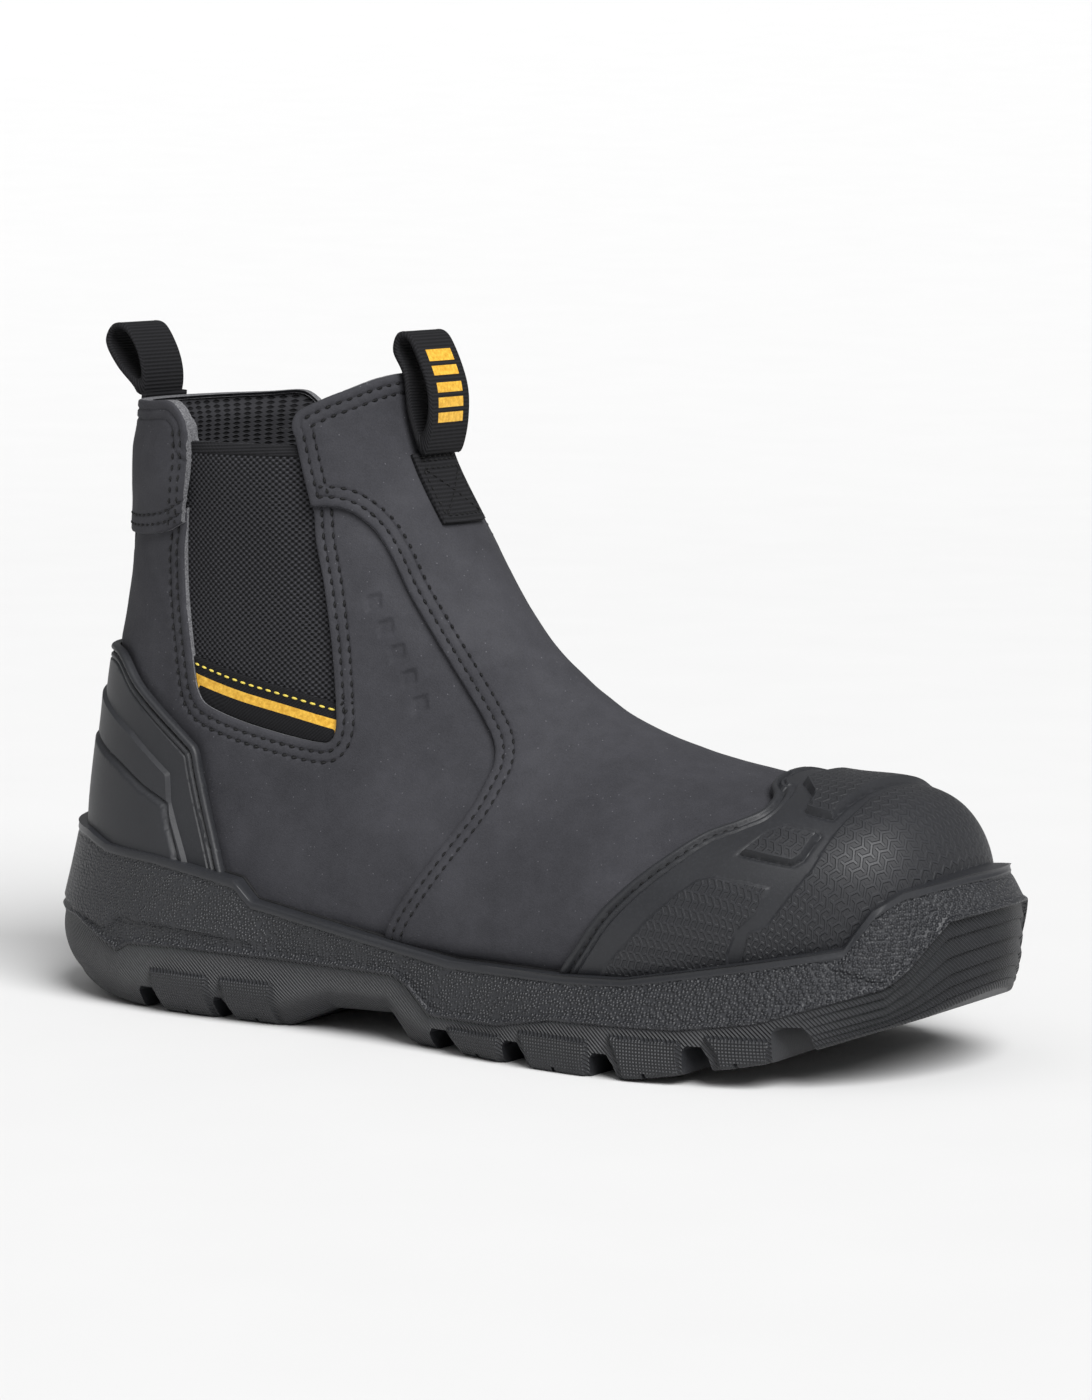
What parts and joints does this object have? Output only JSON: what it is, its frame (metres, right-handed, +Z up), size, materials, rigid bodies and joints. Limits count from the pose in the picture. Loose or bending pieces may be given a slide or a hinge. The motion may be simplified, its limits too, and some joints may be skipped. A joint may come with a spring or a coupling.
{
  "type": "steel toe work boot",
  "caption": "Pull-on ankle work boot with elastic side gussets, moulded toe and heel guards, a steel toe cap and a lugged rubber sole.",
  "frame": {"origin": "on the ground, at the middle of the boot's length and width", "axes": "+X to the toe, +Y to the inner (medial) side of this right boot, +Z up from the ground"},
  "size_m": [0.3082, 0.116, 0.1988],
  "materials": {
    "leather": "waxy charcoal nubuck",
    "guard_rubber": "satin moulded overlay with a fine tread texture",
    "midsole_foam": "satin, pebbled sides and a glossy rim",
    "outsole_rubber": "satin with knurled lugs",
    "elastic": "ribbed black elastic",
    "webbing": "ribbed black webbing",
    "label_cloth": "woven black label with yellow bars",
    "lining_mesh": "black spacer mesh",
    "foam": "open foam and felt",
    "steel": "pressed steel",
    "counter": "moulded stiffener",
    "edge_rubber": "soft strip",
    "board": "pressed fibre board",
    "plate_cloth": "layered aramid cloth",
    "footbed_foam": "moulded foam",
    "footbed_cloth": "knitted cloth",
    "gel": "soft gel"
  },
  "bodies": {
    "boot": {"vamp": "leather", "quarter_lateral": "leather", "quarter_medial": "leather", "back_tab": "leather", "backstay_strip": "webbing", "gusset_lateral": "elastic", "gusset_medial": "elastic", "gusset_label_lateral": "label_cloth", "gusset_label_medial": "label_cloth", "front_loop_patch": "webbing", "rear_loop_patch": "webbing", "toe_guard": "guard_rubber", "heel_guard": "guard_rubber", "steel_toe_cap": "steel", "toe_cap_edge_strip": "edge_rubber", "vamp_interlining": "foam", "heel_counter": "counter", "collar_foam": "foam", "vamp_lining": "lining_mesh", "quarter_lining": "lining_mesh", "lasting_board": "board", "puncture_plate": "plate_cloth", "shank": "steel", "midsole": "midsole_foam", "outsole": "outsole_rubber"},
    "front_loop": {"front_pull_loop": "webbing"},
    "rear_loop": {"rear_pull_loop": "webbing"},
    "insole": {"footbed": "footbed_foam", "heel_pad": "gel", "footbed_cover": "footbed_cloth"}
  },
  "joints": [
    {"name": "front_loop_flex", "type": "hinge", "parent": "boot", "child": "front_loop", "pos_m": [-0.0282, 0, 0.1656], "axis": [0, 1, 0], "range_deg": [0, 80], "stiffness_Nm_per_rad": 0.02},
    {"name": "rear_loop_flex", "type": "hinge", "parent": "boot", "child": "rear_loop", "pos_m": [-0.1297, 0, 0.1796], "axis": [0, -1, 0], "range_deg": [-30, 60], "stiffness_Nm_per_rad": 0.02},
    {"name": "footbed_lift", "type": "hinge", "parent": "boot", "child": "insole", "pos_m": [0.127, 0, 0.0317], "axis": [0, 1, 0], "range_deg": [0, 8]}
  ]
}
